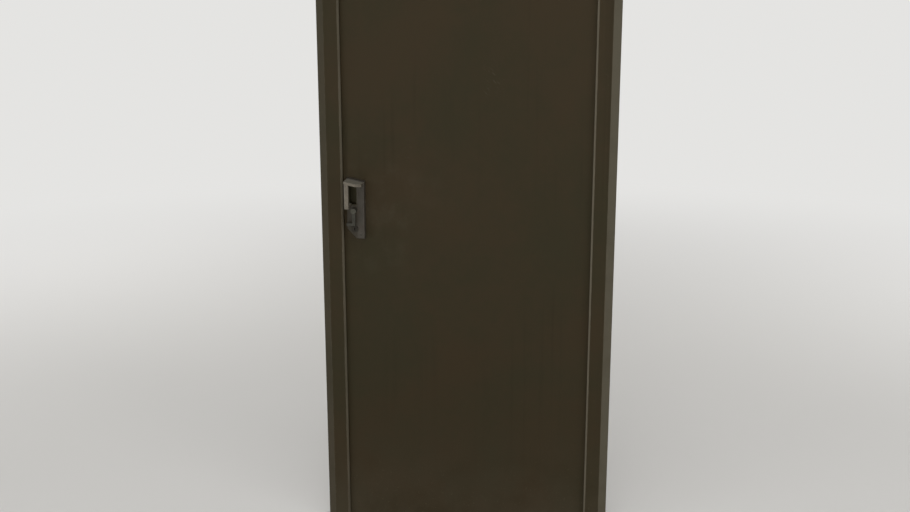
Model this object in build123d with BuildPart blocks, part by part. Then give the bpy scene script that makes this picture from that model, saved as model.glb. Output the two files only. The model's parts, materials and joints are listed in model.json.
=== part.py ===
"""Industrial steel door: a hollow leaf hung on three barrel hinges in a splayed tube frame.

Millimetres, +Z up, front towards -Y, hinges on the +X side. The origin is the middle of
the sill's underside. The leaf opens away from the front.
"""

import os

from build123d import *

# Whole set
set_w = 900.0
set_h = 2100.0
face_w = 71.0
frame_d = 68.0

# Frame tube
wall = 2.5
splay_w = 24.0
splay_d = 16.0
inner_edge = 5.5
stop_w = 18.0
stop_d = 13.0

# Leaf and the gaps round it
skin_t = 1.5
channel_wall = 2.0
channel_flange = 27.0
edge_gap = 7.0
stop_gap = 5.0
floor_gap = 8.0
sill_h = 12.0
sill_bevel = 7.0

# Seal
seal_w = 8.0
seal_gap = 1.0

# Hinges
hinge_from_end = 260.0
barrel_r = 10.0
pin_r = 6.0
pin_head_r = 8.5
pin_head_h = 5.0
pin_fit = 0.05
leaf_bore_ease = 0.03
axis_off = 12.0
lug_t = 6.0
lug_w = 42.0
leaf_barrel_h = 81.0
frame_barrel_h = 38.0
barrel_gap = 1.5

# Wall fixings
anchor_from_floor = 300.0
anchor_from_top = 150.0
anchor_below_strike = 75.0
anchor_above_strike = 285.0
anchor_hole_r = 5.5
access_hole_r = 10.0
cap_r = 13.0
cap_t = 1.5
sill_screw_x = 250.0
sill_screw_r = 4.5
sill_sink_r = 9.0

# Lock set on the leaf
lever_z = 1049.0
cylinder_below = 60.0
case_stop_gap = 14.0
case_w = 53.0
spindle_in = 23.5
case_above = 98.0
case_fall = 11.0
case_below = 91.0
case_cut_w = 28.0
case_cut_h = 31.0
case_d = 25.0
case_wall = 3.0
case_edge = 2.0
pocket_in = 5.0
pocket_w = 26.0
pocket_above = 15.0
pocket_h = 66.0
pocket_wall = 2.0
slide_fit = 0.2
pull_out = 70.0
grip_w = 14.0
grip_round = 5.0
hood_t = 8.0
hood_in = 2.0
hood_cut = 16.0
pull_above = 11.0
arm_t = 10.0

# Lever
spindle = 7.0
spindle_cover = 4.0
spindle_fit = 0.05
spindle_hole_r = 11.0
neck_r = 6.5
boss_r = 8.5
boss_near = 31.0
boss_far = 47.0
lever_near = 35.0
lever_far = 44.0
lever_w = 10.0
lever_len = 43.0
foot_len = 22.0
foot_h = 9.0
lever_edge = 1.5

# Lock in the leaf's edge, and its strike
forend_w = 22.0
forend_below = 144.0
forend_above = 76.0
forend_t = 3.0
latch_w = 14.0
latch_h = 20.0
latch_slope_d = 8.4
dead_w = 12.0
dead_h = 26.0
dead_below = 60.0
bolt_len = 26.0
strike_w = 34.0
strike_below = 124.0
strike_above = 66.0
strike_t = 2.0
strike_ease = 4.0
cylinder_r = 10.0
cylinder_out = 3.0
cylinder_hole_ease = 3.0
key_slot_h = 9.0
key_slot_w = 2.4
key_slot_d = 12.0
cylinder_ease = 0.3

# How far a cutting block runs past the sheet it cuts
cut_over = 1.0

# Places that follow
half_w = set_w / 2
front_y = -frame_d / 2
back_y = frame_d / 2
stop_x = half_w - face_w
rebate_x = stop_x + stop_w
rebate_z = set_h - face_w + stop_w
stop_back_y = front_y + stop_d
leaf_front_y = stop_back_y + stop_gap
leaf_back_y = back_y
leaf_t = leaf_back_y - leaf_front_y
leaf_mid_y = (leaf_front_y + leaf_back_y) / 2
leaf_half_w = rebate_x - edge_gap
leaf_low = sill_h + floor_gap
leaf_high = rebate_z - edge_gap
axis_x = rebate_x - edge_gap / 2
axis_y = back_y + axis_off
leaf_mid = Plane.XZ.offset(-leaf_mid_y)
hinge_heights = {"bottom": hinge_from_end, "middle": set_h / 2, "top": set_h - hinge_from_end}
case_left = -stop_x + case_stop_gap
case_right = case_left + case_w
set_centre_x = case_left + spindle_in
case_top_left = lever_z + case_above
case_top_right = case_top_left - case_fall
case_low = lever_z - case_below
pocket_left = case_left + pocket_in
pocket_right = pocket_left + pocket_w
pocket_low = lever_z + pocket_above
pocket_high = pocket_low + pocket_h
pull_left = case_left
pull_low = lever_z + pull_above
hood_right = case_right - hood_in
cylinder_z = lever_z - cylinder_below
dead_z = lever_z - dead_below
forend_low = lever_z - forend_below
forend_high = lever_z + forend_above
strike_low = lever_z - strike_below
strike_high = lever_z + strike_above
anchor_heights = [
    anchor_from_floor,
    strike_low - anchor_below_strike,
    strike_high + anchor_above_strike,
    set_h - anchor_from_top,
]


def front_plane(out):
    """The upright plane this far out from the leaf's front, facing the front."""
    return Plane.XZ.offset(-(leaf_front_y - out))


def box_between(x, y, z, mode=Mode.ADD):
    """A block between two places on each axis, added to the part being built."""
    with BuildSketch(Plane.XY.offset(z[0])) as plan:
        with Locations(((x[0] + x[1]) / 2, (y[0] + y[1]) / 2)):
            Rectangle(abs(x[1] - x[0]), abs(y[1] - y[0]))
    extrude(plan.sketch, amount=z[1] - z[0], mode=mode)


def frame_outline():
    """The frame tube's outline: distance in from the outside, distance back from the front."""
    return [
        (0, splay_d),
        (splay_w, 0),
        (face_w - inner_edge, 0),
        (face_w, inner_edge),
        (face_w, stop_d),
        (face_w - stop_w, stop_d),
        (face_w - stop_w, frame_d),
        (0, frame_d),
    ]


def mitre(side):
    """The slope at a top corner where a post meets the head."""
    return Plane(origin=(side * half_w, 0, set_h), z_dir=(-side, 0, 1))


def build_post(side):
    """One upright tube with its wall fixings, cut to the mitre at the top."""
    with BuildPart() as post:
        with BuildSketch(Plane.XY):
            with BuildLine():
                Polyline(*[(side * (half_w - u), front_y + v) for u, v in frame_outline()], close=True)
            make_face()
            offset(amount=-wall, kind=Kind.INTERSECTION, mode=Mode.SUBTRACT)
        extrude(amount=set_h)
        split(bisect_by=mitre(side), keep=Keep.BOTTOM)
        with BuildSketch(Plane.YZ.offset(side * half_w)):
            with Locations(*[(leaf_mid_y, z) for z in anchor_heights]):
                Circle(anchor_hole_r)
        extrude(amount=-side * 2 * wall, mode=Mode.SUBTRACT)
        with BuildSketch(Plane.YZ.offset(side * rebate_x)):
            with Locations(*[(leaf_mid_y, z) for z in anchor_heights]):
                Circle(access_hole_r)
        extrude(amount=side * 2 * wall, mode=Mode.SUBTRACT)
    return post


# Frame posts, with the strike's two pockets in the left one
right_post = build_post(1)
plain_left_post = build_post(-1)
with BuildPart() as left_post:
    add(plain_left_post.part)
    for height, size_y, size_z in ((lever_z, latch_w, latch_h), (dead_z, dead_w, dead_h)):
        box_between(
            (-rebate_x - 2 * wall, -rebate_x),
            (leaf_mid_y - size_y / 2 - strike_ease, leaf_mid_y + size_y / 2 + strike_ease),
            (height - size_z / 2 - strike_ease, height + size_z / 2 + strike_ease),
            mode=Mode.SUBTRACT,
        )

# Head of the frame
with BuildPart() as head_rail:
    with BuildSketch(Plane.YZ.offset(-half_w)):
        with BuildLine():
            Polyline(*[(front_y + v, set_h - u) for u, v in frame_outline()], close=True)
        make_face()
        offset(amount=-wall, kind=Kind.INTERSECTION, mode=Mode.SUBTRACT)
    extrude(amount=set_w)
    split(bisect_by=mitre(-1), keep=Keep.TOP)
    split(bisect_by=mitre(1), keep=Keep.TOP)

# Sill, notched round the posts' stops
with BuildPart() as sill:
    with BuildSketch(Plane.YZ.offset(-rebate_x)):
        with BuildLine():
            Polyline(
                (front_y, 0),
                (back_y, 0),
                (back_y, sill_h - sill_bevel),
                (back_y - sill_bevel, sill_h),
                (front_y + sill_bevel, sill_h),
                (front_y, sill_h - sill_bevel),
                close=True,
            )
        make_face()
    extrude(amount=2 * rebate_x)
    for end in (-1, 1):
        box_between((end * stop_x, end * rebate_x), (front_y, stop_back_y), (0, sill_h), mode=Mode.SUBTRACT)
    with Locations((-sill_screw_x, leaf_mid_y, sill_h), (sill_screw_x, leaf_mid_y, sill_h)):
        CounterSinkHole(sill_screw_r, sill_sink_r)


def seal_outline(across):
    """A seal strip's outline from the stop's back, rounded towards the leaf."""
    thick = stop_gap - seal_gap
    low = across - seal_w / 2
    high = across + seal_w / 2
    round_off = thick / 2
    return [
        (low, stop_back_y),
        (high, stop_back_y),
        (high, stop_back_y + thick - round_off),
        (high - round_off, stop_back_y + thick),
        (low + round_off, stop_back_y + thick),
        (low, stop_back_y + thick - round_off),
    ]


def build_side_seal(side):
    """The seal strip down one post's stop."""
    across = side * (stop_x + leaf_half_w) / 2
    with BuildPart() as strip:
        with BuildSketch(Plane.XY.offset(sill_h)):
            with BuildLine():
                Polyline(*seal_outline(across), close=True)
            make_face()
        extrude(amount=seal_head_z - seal_w / 2 - sill_h)
    return strip


seal_head_z = (rebate_z - stop_w + leaf_high) / 2
left_seal = build_side_seal(-1)
right_seal = build_side_seal(1)
with BuildPart() as head_seal:
    with BuildSketch(Plane.YZ.offset(-(stop_x + leaf_half_w) / 2 - seal_w / 2)):
        with BuildLine():
            Polyline(*[(y, z) for z, y in seal_outline(seal_head_z)], close=True)
        make_face()
    extrude(amount=stop_x + leaf_half_w + seal_w)


def build_caps(side):
    """The four plugs over one post's fixings."""
    with BuildPart() as caps:
        with BuildSketch(Plane.YZ.offset(side * rebate_x)):
            with Locations(*[(leaf_mid_y, z) for z in anchor_heights]):
                Circle(cap_r)
        extrude(amount=-side * cap_t)
    return caps


left_caps = build_caps(-1)
right_caps = build_caps(1)

# Strike plate on the lock side's rebate
with BuildPart() as strike_plate:
    box_between(
        (-rebate_x, -rebate_x + strike_t),
        (leaf_mid_y - strike_w / 2, leaf_mid_y + strike_w / 2),
        (strike_low, strike_high),
    )
    for height, size_y, size_z in ((lever_z, latch_w, latch_h), (dead_z, dead_w, dead_h)):
        box_between(
            (-rebate_x - cut_over, -rebate_x + strike_t + cut_over),
            (leaf_mid_y - size_y / 2 - strike_ease / 2, leaf_mid_y + size_y / 2 + strike_ease / 2),
            (height - size_z / 2 - strike_ease / 2, height + size_z / 2 + strike_ease / 2),
            mode=Mode.SUBTRACT,
        )


def lug_outline(side):
    """A hinge lug on the back face, running up to its barrel: side +1 frame, -1 leaf."""
    edge = axis_x + side * edge_gap / 2
    return [
        (edge, back_y),
        (edge + side * lug_w, back_y),
        (edge + side * lug_w, back_y + lug_t),
        (edge + side * lug_w / 3, back_y + lug_t),
        (axis_x + side * barrel_r, axis_y),
        (edge, axis_y),
    ]


def build_knuckles(side, levels, height, fit):
    """Barrels with their lugs on one side of a hinge, bored for the pin."""
    with BuildPart() as knuckles:
        for level in levels:
            with BuildSketch(Plane.XY.offset(level)):
                with BuildLine():
                    Polyline(*lug_outline(side), close=True)
                make_face()
                with Locations((axis_x, axis_y)):
                    Circle(barrel_r)
                    Circle(pin_r + fit, mode=Mode.SUBTRACT)
            extrude(amount=height)
    return knuckles


def build_pin(low, high):
    """A hinge pin with a head at each end, turned about the hinge axis."""
    with BuildPart() as pin:
        with BuildSketch(Plane.XZ.offset(-axis_y)):
            with BuildLine():
                Polyline(
                    (axis_x, low - pin_head_h),
                    (axis_x + pin_head_r, low - pin_head_h),
                    (axis_x + pin_head_r, low),
                    (axis_x + pin_r, low),
                    (axis_x + pin_r, high),
                    (axis_x + pin_head_r, high),
                    (axis_x + pin_head_r, high + pin_head_h),
                    (axis_x, high + pin_head_h),
                    close=True,
                )
            make_face()
        revolve(axis=Axis((axis_x, axis_y, 0), (0, 0, 1)))
    return pin


hinge_parts = {}
for place, middle in hinge_heights.items():
    leaf_start = middle - leaf_barrel_h / 2
    upper_start = middle + leaf_barrel_h / 2 + barrel_gap
    lower_start = leaf_start - barrel_gap - frame_barrel_h
    hinge_parts[place + "_hinge_frame"] = build_knuckles(
        1, (lower_start, upper_start), frame_barrel_h, pin_fit
    )
    hinge_parts[place + "_hinge_leaf"] = build_knuckles(
        -1, (leaf_start,), leaf_barrel_h, pin_fit + leaf_bore_ease
    )
    hinge_parts[place + "_hinge_pin"] = build_pin(lower_start, upper_start + frame_barrel_h)


def cut_lock_holes(plane):
    """Clearance for the spindle and the lock cylinder, cut through along Y."""
    with BuildSketch(plane) as holes:
        with Locations((set_centre_x, lever_z)):
            Circle(spindle_hole_r)
        with Locations((set_centre_x, cylinder_z)):
            Circle(cylinder_r + cylinder_hole_ease)
    extrude(holes.sketch, amount=4 * skin_t, both=True, mode=Mode.SUBTRACT)


# Leaf skins
with BuildPart() as front_skin:
    box_between(
        (-leaf_half_w, leaf_half_w), (leaf_front_y, leaf_front_y + skin_t), (leaf_low, leaf_high)
    )
    cut_lock_holes(front_plane(0))
with BuildPart() as back_skin:
    box_between((-leaf_half_w, leaf_half_w), (leaf_back_y - skin_t, leaf_back_y), (leaf_low, leaf_high))
    cut_lock_holes(front_plane(-leaf_t))

channel_front = leaf_front_y + skin_t
channel_back = leaf_back_y - skin_t


def channel_outline():
    """A leaf edge channel's outline: distance in from the leaf's edge, place along Y."""
    return [
        (0, channel_front),
        (channel_flange, channel_front),
        (channel_flange, channel_front + channel_wall),
        (channel_wall, channel_front + channel_wall),
        (channel_wall, channel_back - channel_wall),
        (channel_flange, channel_back - channel_wall),
        (channel_flange, channel_back),
        (0, channel_back),
    ]


def leaf_corner(side, top):
    """The slope at a leaf corner where two edge channels meet, facing the level channel."""
    height = leaf_high if top else leaf_low
    return Plane(origin=(side * leaf_half_w, 0, height), z_dir=(-side, 0, 1 if top else -1))


def build_upright_channel(side):
    """The channel down one edge of the leaf."""
    with BuildPart() as channel:
        with BuildSketch(Plane.XY.offset(leaf_low)):
            with BuildLine():
                Polyline(*[(side * (leaf_half_w - u), y) for u, y in channel_outline()], close=True)
            make_face()
        extrude(amount=leaf_high - leaf_low)
        split(bisect_by=leaf_corner(side, True), keep=Keep.BOTTOM)
        split(bisect_by=leaf_corner(side, False), keep=Keep.BOTTOM)
    return channel


def build_level_channel(top):
    """The channel along the top or bottom of the leaf."""
    edge = leaf_high if top else leaf_low
    inwards = -1 if top else 1
    with BuildPart() as channel:
        with BuildSketch(Plane.YZ.offset(-leaf_half_w)):
            with BuildLine():
                Polyline(*[(y, edge + inwards * u) for u, y in channel_outline()], close=True)
            make_face()
        extrude(amount=2 * leaf_half_w)
        split(bisect_by=leaf_corner(-1, top), keep=Keep.TOP)
        split(bisect_by=leaf_corner(1, top), keep=Keep.TOP)
    return channel


hinge_stile = build_upright_channel(1)
top_channel = build_level_channel(True)
bottom_channel = build_level_channel(False)
plain_lock_stile = build_upright_channel(-1)
with BuildPart() as lock_stile:
    add(plain_lock_stile.part)
    box_between(
        (-leaf_half_w - cut_over, -leaf_half_w + channel_wall + cut_over),
        (leaf_mid_y - forend_w / 2, leaf_mid_y + forend_w / 2),
        (forend_low, forend_high),
        mode=Mode.SUBTRACT,
    )

# Lock forend in the leaf's edge, with its two bolts drawn in
with BuildPart() as lock_forend:
    box_between(
        (-leaf_half_w, -leaf_half_w + forend_t),
        (leaf_mid_y - forend_w / 2 + slide_fit, leaf_mid_y + forend_w / 2 - slide_fit),
        (forend_low + slide_fit, forend_high - slide_fit),
    )
    for height, size_y, size_z in ((lever_z, latch_w, latch_h), (dead_z, dead_w, dead_h)):
        box_between(
            (-leaf_half_w - cut_over, -leaf_half_w + forend_t + cut_over),
            (leaf_mid_y - size_y / 2 - slide_fit, leaf_mid_y + size_y / 2 + slide_fit),
            (height - size_z / 2 - slide_fit, height + size_z / 2 + slide_fit),
            mode=Mode.SUBTRACT,
        )
with BuildPart() as latch_bolt:
    with BuildSketch(Plane.XY.offset(lever_z - latch_h / 2)):
        with BuildLine():
            Polyline(
                (-leaf_half_w, leaf_mid_y - latch_w / 2),
                (-leaf_half_w + bolt_len, leaf_mid_y - latch_w / 2),
                (-leaf_half_w + bolt_len, leaf_mid_y + latch_w / 2),
                (-leaf_half_w + latch_slope_d, leaf_mid_y + latch_w / 2),
                close=True,
            )
        make_face()
    extrude(amount=latch_h)
with BuildPart() as dead_bolt:
    box_between(
        (-leaf_half_w, -leaf_half_w + bolt_len),
        (leaf_mid_y - dead_w / 2, leaf_mid_y + dead_w / 2),
        (dead_z - dead_h / 2, dead_z + dead_h / 2),
    )


def case_outline(inset):
    """The lock case's outline with a sloping top and one lower corner cut away."""
    return [
        (case_left + inset, case_top_left - inset),
        (case_right - inset, case_top_right - inset),
        (case_right - inset, case_low + inset),
        (case_left + case_cut_w + inset / 2, case_low + inset),
        (case_left + inset, case_low + case_cut_h + inset / 2),
    ]


# Lock case on the front: a shell open at the leaf, with a window for the finger pocket
with BuildPart() as front_case:
    with BuildSketch(front_plane(0)):
        with BuildLine():
            Polyline(*case_outline(0), close=True)
        make_face()
    extrude(amount=case_d)
    chamfer(faces().sort_by(Axis.Y)[0].edges(), length=case_edge)
    with BuildSketch(front_plane(0)):
        with BuildLine():
            Polyline(*case_outline(case_wall), close=True)
        make_face()
    extrude(amount=case_d - case_wall, mode=Mode.SUBTRACT)
    with BuildSketch(front_plane(0)):
        with Locations(((pocket_left + pocket_right) / 2, (pocket_low + pocket_high) / 2)):
            Rectangle(pocket_right - pocket_left, pocket_high - pocket_low)
        with Locations((set_centre_x, lever_z)):
            Circle(neck_r + pin_fit)
        with Locations((set_centre_x, cylinder_z)):
            Circle(cylinder_r + cylinder_ease)
    extrude(amount=case_d, mode=Mode.SUBTRACT)

# Finger pocket let into the case
with BuildPart() as front_pocket:
    with BuildSketch(front_plane(0)):
        with Locations(((pocket_left + pocket_right) / 2, (pocket_low + pocket_high) / 2)):
            Rectangle(pocket_right - pocket_left - 2 * slide_fit, pocket_high - pocket_low - 2 * slide_fit)
    extrude(amount=case_d)
    with BuildSketch(front_plane(pocket_wall)):
        with Locations(((pocket_left + pocket_right) / 2, (pocket_low + pocket_high) / 2)):
            Rectangle(
                pocket_right - pocket_left - 2 * (slide_fit + pocket_wall),
                pocket_high - pocket_low - 2 * (slide_fit + pocket_wall),
            )
    extrude(amount=case_d, mode=Mode.SUBTRACT)

hood_fall = (case_top_left - case_top_right) / (case_right - case_left)
hood_top = case_top_left - case_edge
hood_top_right = hood_top - hood_fall * (hood_right - pull_left)

# Pull: a sloping hood, the upright grip and the lower arm, in one piece
with BuildPart() as front_pull:
    with BuildSketch(front_plane(case_d)):
        with BuildLine():
            Polyline(
                (pull_left, hood_top),
                (hood_right, hood_top_right),
                (hood_right, hood_top_right - hood_t),
                (pull_left, hood_top - hood_t),
                close=True,
            )
        make_face()
    extrude(amount=pull_out - case_d)
    with BuildSketch(Plane.XY.offset(pull_low)):
        with BuildLine():
            Polyline(
                (hood_right, leaf_front_y - pull_out),
                (hood_right, leaf_front_y - pull_out + hood_cut),
                (hood_right - hood_cut, leaf_front_y - pull_out),
                close=True,
            )
        make_face()
    extrude(amount=hood_top - pull_low, mode=Mode.SUBTRACT)
    with BuildSketch(Plane.XY.offset(pull_low)):
        with Locations((pull_left + grip_w / 2, leaf_front_y - pull_out + grip_w / 2)):
            RectangleRounded(grip_w, grip_w, grip_round)
    extrude(amount=hood_top - hood_t / 2 - pull_low)
    box_between(
        (pull_left, pull_left + grip_w),
        (leaf_front_y - pull_out + grip_w / 2, leaf_front_y - case_d),
        (pull_low, pull_low + arm_t),
    )

# Lock cylinder through the leaf, with a key slot at each end
with BuildPart() as lock_cylinder:
    with BuildSketch(front_plane(case_d + cylinder_out)):
        with Locations((set_centre_x, cylinder_z)):
            Circle(cylinder_r)
    extrude(amount=-(leaf_t + 2 * case_d + 2 * cylinder_out))
    for out, inwards in ((case_d + cylinder_out, -1), (-leaf_t - case_d - cylinder_out, 1)):
        with BuildSketch(front_plane(out)):
            with Locations((set_centre_x, cylinder_z)):
                SlotOverall(key_slot_h, key_slot_w, rotation=90)
        extrude(amount=inwards * key_slot_d, mode=Mode.SUBTRACT)

# Square spindle, and the lever on the front that hangs from it
with BuildPart() as lever_spindle:
    with BuildSketch(front_plane(boss_far - spindle_cover)):
        with Locations((set_centre_x, lever_z)):
            Rectangle(spindle, spindle)
    extrude(amount=-(leaf_t + 2 * (boss_far - spindle_cover)))
with BuildPart() as front_lever:
    with BuildSketch(front_plane(lever_near)):
        with BuildLine():
            Polyline(
                (set_centre_x - lever_w / 2, lever_z),
                (set_centre_x + lever_w / 2, lever_z),
                (set_centre_x + lever_w / 2, lever_z - lever_len - foot_h / 2),
                (set_centre_x - foot_len, lever_z - lever_len - foot_h / 2),
                (set_centre_x - foot_len, lever_z - lever_len + foot_h / 2),
                (set_centre_x - lever_w / 2, lever_z - lever_len + foot_h / 2),
                close=True,
            )
        make_face()
    extrude(amount=lever_far - lever_near)
    chamfer(faces().sort_by(Axis.Y)[0].edges(), length=lever_edge)
    with BuildSketch(front_plane(case_d / 2)):
        with Locations((set_centre_x, lever_z)):
            Circle(neck_r)
    extrude(amount=boss_near - case_d / 2)
    with BuildSketch(front_plane(boss_near)):
        with Locations((set_centre_x, lever_z)):
            Circle(boss_r)
    extrude(amount=boss_far - boss_near)
    with BuildSketch(front_plane(case_d / 2)):
        with Locations((set_centre_x, lever_z)):
            Rectangle(spindle + 2 * spindle_fit, spindle + 2 * spindle_fit)
    extrude(amount=boss_far - spindle_cover - case_d / 2, mode=Mode.SUBTRACT)

# The back carries the same set, turned over
with BuildPart() as back_case:
    mirror(front_case.part, about=leaf_mid)
with BuildPart() as back_pocket:
    mirror(front_pocket.part, about=leaf_mid)
with BuildPart() as back_pull:
    mirror(front_pull.part, about=leaf_mid)
with BuildPart() as back_lever:
    mirror(front_lever.part, about=leaf_mid)

nodes = {
    "left_post": left_post,
    "right_post": right_post,
    "head_rail": head_rail,
    "sill": sill,
    "left_seal": left_seal,
    "right_seal": right_seal,
    "head_seal": head_seal,
    "left_caps": left_caps,
    "right_caps": right_caps,
    "strike_plate": strike_plate,
    "front_skin": front_skin,
    "back_skin": back_skin,
    "lock_stile": lock_stile,
    "hinge_stile": hinge_stile,
    "top_channel": top_channel,
    "bottom_channel": bottom_channel,
    "lock_forend": lock_forend,
    "latch_bolt": latch_bolt,
    "dead_bolt": dead_bolt,
    "front_case": front_case,
    "front_pocket": front_pocket,
    "front_pull": front_pull,
    "back_case": back_case,
    "back_pocket": back_pocket,
    "back_pull": back_pull,
    "lock_cylinder": lock_cylinder,
    "lever_spindle": lever_spindle,
    "front_lever": front_lever,
    "back_lever": back_lever,
}
nodes.update(hinge_parts)

os.makedirs("parts", exist_ok=True)
for label, builder in nodes.items():
    builder.part.label = label
    export_step(builder.part, "parts/" + label + ".step")
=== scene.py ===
"""Finishes, fastenings, weld seams and a plain studio for an industrial steel door."""

import json
import math

import bpy
import numpy as np
from bpy.props import FloatProperty, FloatVectorProperty, IntProperty, PointerProperty
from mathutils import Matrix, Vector


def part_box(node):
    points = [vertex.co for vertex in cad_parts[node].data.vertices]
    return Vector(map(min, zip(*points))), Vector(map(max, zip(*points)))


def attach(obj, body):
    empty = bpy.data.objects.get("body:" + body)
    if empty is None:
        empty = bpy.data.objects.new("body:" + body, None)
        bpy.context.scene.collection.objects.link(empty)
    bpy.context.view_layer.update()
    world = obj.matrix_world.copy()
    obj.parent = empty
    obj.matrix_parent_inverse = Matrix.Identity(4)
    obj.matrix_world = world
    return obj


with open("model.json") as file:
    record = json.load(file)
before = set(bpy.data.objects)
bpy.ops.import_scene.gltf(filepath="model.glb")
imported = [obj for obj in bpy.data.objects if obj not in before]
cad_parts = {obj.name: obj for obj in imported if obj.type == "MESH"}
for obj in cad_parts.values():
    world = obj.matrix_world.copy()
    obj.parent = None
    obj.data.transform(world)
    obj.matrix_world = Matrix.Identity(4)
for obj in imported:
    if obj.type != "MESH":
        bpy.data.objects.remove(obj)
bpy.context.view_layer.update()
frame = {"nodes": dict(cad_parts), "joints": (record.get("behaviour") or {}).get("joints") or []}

bl_info = {
    "name": "Industrial door looks",
    "version": (1, 0, 0),
    "blender": (4, 5, 0),
    "location": "View3D > Sidebar > Door",
    "description": "Dresses a hollow steel door with paint, worn steel, screws and weld seams",
    "category": "Object",
}

HINGES = ("bottom", "middle", "top")
FACES = ("front", "back")
NOWHERE = (0.0, 0.0, 0.0)
ALONG_X = (1.0, 0.0, 0.0)
ALONG_Y = (0.0, 1.0, 0.0)
UPWARDS = (0.0, 0.0, 1.0)


def node_box(name):
    """A solid's lowest and highest corners as arrays."""
    low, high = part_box(name)
    return np.array(low), np.array(high)


def joint_place(name):
    """A point on a joint's axis."""
    return next(j for j in frame["joints"] if j["name"] == name)["pos_m"]


CASE_LOW, CASE_HIGH = node_box("front_case")
STRIKE_LOW, STRIKE_HIGH = node_box("strike_plate")
FOREND_LOW, FOREND_HIGH = node_box("lock_forend")
HEAD_LOW, HEAD_HIGH = node_box("head_rail")
BACK_CASE_FACE = node_box("back_case")[1][1]
SILL_TOP = node_box("sill")[1][2]
FRAME_BACK = node_box("right_post")[1][1]
POCKET_RIGHT = node_box("front_pocket")[1][0]
LEAF_MIDDLE = (node_box("front_skin")[0][1] + node_box("back_skin")[1][1]) / 2
LEAF_AXIS = joint_place("leaf_swing")
LEVER_AXIS = joint_place("lever_turn")

# Places and heights of the screws, in metres
CASE_SCREW_IN = 0.0085
CASE_SCREW_ABOVE_LEVER = 0.063
CASE_SCREW_BELOW_LEVER = 0.046
CASE_SCREW_UP = 0.014
LOCK_SCREW_IN = 0.012
LOCK_SCREW_RISE = 0.0006
SILL_SCREW_X = 0.25
SILL_SCREW_SUNK = 0.0016
SILL_SCREW_RISE = 0.0012

# Weld seams in metres, with counts of steps and sides, and the lean of the mitre weld's ends
BARREL_GAP = 0.0015
LUG_START = 0.013
WELD_STEP = 0.0007
WELD_EASE = 4
WELD_SIDES = 14
MITRE_RIPPLE = 0.004
INNER_BEVEL = 0.0055
SPLAY_INNER = 0.024
SPLAY_END = (0.003, 0.014)
MITRE_LEAN = 0.4

# Depth of bumps and reach of wear, in metres; for the grease and painted shade round the lever, where it
# ends and where it is full
BUMP_DEPTH = 0.001
LEVER_BOSS_RADIUS = 0.0085
BARREL_RADIUS = 0.0105
OIL_REACH = 0.016
HAND_REACH = 0.06
HAND_SPREAD = 0.30
GREASE_AND_SHADE_ACROSS = (POCKET_RIGHT + 0.006, POCKET_RIGHT - 0.004)
GREASE_AND_SHADE_DOWN = (LEVER_AXIS[2] + 0.022, LEVER_AXIS[2] + 0.008)

# Strength of each kind of wear, and the share of the painted highlights kept on the lock side's post, from
# 0 to 1
RUN_SHARE = 0.28
SCRATCH_SHARE = 0.16
FLECK_SHARE = 0.55
DIRT_SHARE = 0.38
HAND_SHARE = 0.18
OIL_SHARE = 0.75
# Painted shade: the lock side's post keeps only this share of the splay and bevel highlights
LOCK_SIDE_HIGHLIGHT = 0.38
PEEL_HEIGHT = 0.10

# How far a steel's grain is drawn out along each axis: a low value draws it long
UPRIGHT_GRAIN = (800.0, 800.0, 18.0)
PLATED_GRAIN = (700.0, 700.0, 16.0)
SILL_GRAIN = (18.0, 700.0, 700.0)
EVEN_GRAIN = (500.0, 500.0, 500.0)

# Studio: sizes in metres, and for each lamp its name, the setting of its power, its place, its width
# and height, and whether reflections show it
DOOR_MIDDLE = (0.0, 0.0, 1.05)
FLOOR_SIDES = 96
FLOOR_RINGS = 22
FLOOR_START = 0.4
FLOOR_REACH = 9.0
FLOOR_BEND = 4.0
WALL_TOP = 9.0
BACKDROP_TONE = (0.78, 0.775, 0.76, 1.0)
SKY_TONE = (1.0, 0.99, 0.97, 1.0)
SKY_SEEN = 0.8
SENSOR_WIDTH = 36.0
CLIP_RANGE = (0.05, 200.0)
LAMPS = (
    ("left_panel", "left_lamp", (-3.4, -3.0, 2.0), (2.2, 3.4), True),
    ("right_panel", "right_lamp", (3.6, -2.8, 1.8), (2.0, 3.2), True),
    ("front_panel", "front_lamp", (0.3, -5.0, 1.2), (2.6, 2.2), False),
    ("top_panel", "top_lamp", (0.2, -2.6, 4.8), (3.0, 2.0), True),
    ("back_left_panel", "back_lamp", (-3.4, 3.4, 2.8), (2.4, 3.0), True),
    ("back_right_panel", "back_lamp", (3.4, 3.4, 2.8), (2.4, 3.0), True),
)


def colour_property(name, description, default):
    """A colour that the sidebar shows, in linear values."""
    return FloatVectorProperty(
        name=name, description=description, default=default, size=3, min=0, max=1, subtype="COLOR"
    )


def length_property(name, description, default):
    """A length that the sidebar shows, in metres."""
    return FloatProperty(
        name=name, description=description, default=default, min=0, precision=4, unit="LENGTH"
    )


def angle_property(name, description, degrees):
    """An angle that the sidebar shows."""
    return FloatProperty(name=name, description=description, default=math.radians(degrees), subtype="ANGLE")


def lamp_property(name, description, watts):
    """A lamp's power that the sidebar shows."""
    return FloatProperty(name=name, description=description, default=watts, min=0)


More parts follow.
